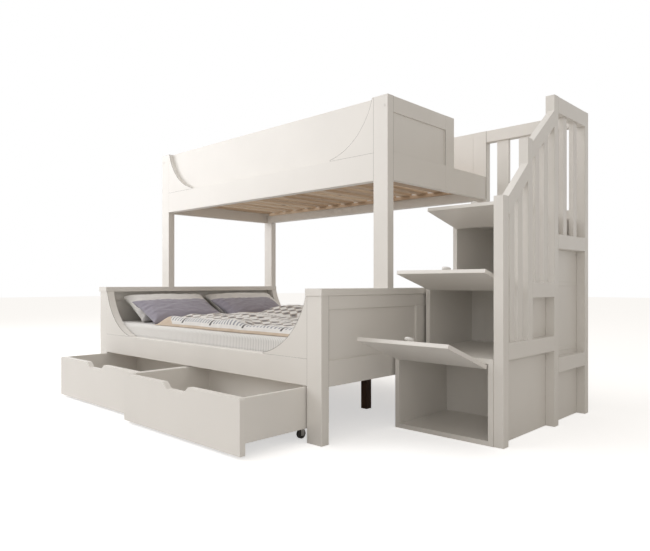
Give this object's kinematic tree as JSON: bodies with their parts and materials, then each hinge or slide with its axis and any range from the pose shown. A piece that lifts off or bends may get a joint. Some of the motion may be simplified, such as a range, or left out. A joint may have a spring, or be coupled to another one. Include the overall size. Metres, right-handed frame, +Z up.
{
  "type": "bunk bed with storage stairs",
  "caption": "Bunk bed with a narrow upper bunk over a wide lower bunk, rolling drawers below and a flight of storage stairs with flap doors and a balustrade.",
  "frame": {"origin": "on the floor, at the middle of the part's footprint with the drawers as stored", "axes": "+X along the bed towards the stairs, +Y towards the wall, +Z up"},
  "size_m": [2.661, 1.865, 1.635],
  "materials": {
    "painted_wood": "satin warm-white lacquer",
    "pine": "bare planed pine",
    "dark_wood": "dark brown stain",
    "mattress_cover": "quilted off-white knit",
    "duvet_cover": "printed cotton",
    "pillow_white": "white cotton",
    "pillow_grey": "pale lavender-grey cotton",
    "knob_white": "glossy white",
    "cap_plastic": "satin off-white plastic",
    "steel": "zinc plated",
    "wheel_grey": "dark grey tread"
  },
  "bodies": {
    "bed_and_stairs": {"balustrade_posts": "painted_wood", "balustrade_rails": "painted_wood", "balustrade_slats": "painted_wood", "cabinet_1_sides": "painted_wood", "cabinet_2_sides": "painted_wood", "cabinet_3_sides": "painted_wood", "cabinet_boards": "painted_wood", "centre_beam": "pine", "centre_legs": "dark_wood", "cover_caps": "cap_plastic", "cushions": "pillow_grey", "duvet": "duvet_cover", "end_caps": "painted_wood", "entry_post": "painted_wood", "foot_posts": "painted_wood", "guard_back": "painted_wood", "guard_front": "painted_wood", "handrails": "painted_wood", "head_posts": "painted_wood", "hinge_leaves_fixed": "steel", "landing_guard": "painted_wood", "lower_brackets": "painted_wood", "lower_end_panels": "painted_wood", "lower_end_rails": "painted_wood", "lower_ledges": "pine", "lower_rail_back": "painted_wood", "lower_rail_front": "painted_wood", "lower_slats": "pine", "mattress": "mattress_cover", "pillows": "pillow_white", "treads": "painted_wood", "upper_brackets": "painted_wood", "upper_end_panels": "painted_wood", "upper_end_rails": "painted_wood", "upper_foot_posts": "painted_wood", "upper_head_posts": "painted_wood", "upper_ledges": "pine", "upper_rail_back": "painted_wood", "upper_rail_front": "painted_wood", "upper_slats": "pine"},
    "flap_body_1": {"flap_1": "painted_wood", "flap_1_knob": "knob_white", "flap_1_hinges": "steel"},
    "flap_body_2": {"flap_2": "painted_wood", "flap_2_knob": "knob_white", "flap_2_hinges": "steel"},
    "flap_body_3": {"flap_3": "painted_wood", "flap_3_knob": "knob_white", "flap_3_hinges": "steel"},
    "drawer_body_left": {"drawer_left_front": "painted_wood", "drawer_left_box": "painted_wood", "drawer_left_forks": "steel"},
    "wheel_pair_left_front": {"drawer_left_wheels_front": "wheel_grey"},
    "wheel_pair_left_rear": {"drawer_left_wheels_rear": "wheel_grey"},
    "drawer_body_right": {"drawer_right_front": "painted_wood", "drawer_right_box": "painted_wood", "drawer_right_forks": "steel"},
    "wheel_pair_right_front": {"drawer_right_wheels_front": "wheel_grey"},
    "wheel_pair_right_rear": {"drawer_right_wheels_rear": "wheel_grey"}
  },
  "joints": [
    {"name": "flap_1_hinge", "type": "hinge", "parent": "bed_and_stairs", "child": "flap_body_1", "pos_m": [1.0235, -0.0605, 0.35425], "axis": [1, 0, 0], "range_deg": [0, 110]},
    {"name": "flap_2_hinge", "type": "hinge", "parent": "bed_and_stairs", "child": "flap_body_2", "pos_m": [1.0235, 0.207, 0.69025], "axis": [1, 0, 0], "range_deg": [0, 106]},
    {"name": "flap_3_hinge", "type": "hinge", "parent": "bed_and_stairs", "child": "flap_body_3", "pos_m": [1.0235, 0.4745, 1.02625], "axis": [1, 0, 0], "range_deg": [0, 104.5]},
    {"name": "drawer_left_slide", "type": "slide", "parent": "bed_and_stairs", "child": "drawer_body_left", "axis": [0, 1, 0], "range_m": [-0.22, 0.3]},
    {"name": "wheels_left_front_turn", "type": "hinge", "parent": "drawer_body_left", "child": "wheel_pair_left_front", "pos_m": [-0.761, -0.8085, 0.022], "axis": [1, 0, 0], "continuous": true},
    {"name": "wheels_left_rear_turn", "type": "hinge", "parent": "drawer_body_left", "child": "wheel_pair_left_rear", "pos_m": [-0.761, -0.4545, 0.022], "axis": [1, 0, 0], "continuous": true},
    {"name": "drawer_right_slide", "type": "slide", "parent": "bed_and_stairs", "child": "drawer_body_right", "axis": [0, 1, 0], "range_m": [-0.15, 0.37]},
    {"name": "wheels_right_front_turn", "type": "hinge", "parent": "drawer_body_right", "child": "wheel_pair_right_front", "pos_m": [0.182, -0.8785, 0.022], "axis": [1, 0, 0], "continuous": true},
    {"name": "wheels_right_rear_turn", "type": "hinge", "parent": "drawer_body_right", "child": "wheel_pair_right_rear", "pos_m": [0.182, -0.5245, 0.022], "axis": [1, 0, 0], "continuous": true}
  ],
  "couplings": [
    {"joint": "wheels_left_front_turn", "follows": "drawer_left_slide", "rad_per_m": -45.455},
    {"joint": "wheels_left_rear_turn", "follows": "drawer_left_slide", "rad_per_m": -45.455},
    {"joint": "wheels_right_front_turn", "follows": "drawer_right_slide", "rad_per_m": -45.455},
    {"joint": "wheels_right_rear_turn", "follows": "drawer_right_slide", "rad_per_m": -45.455}
  ]
}
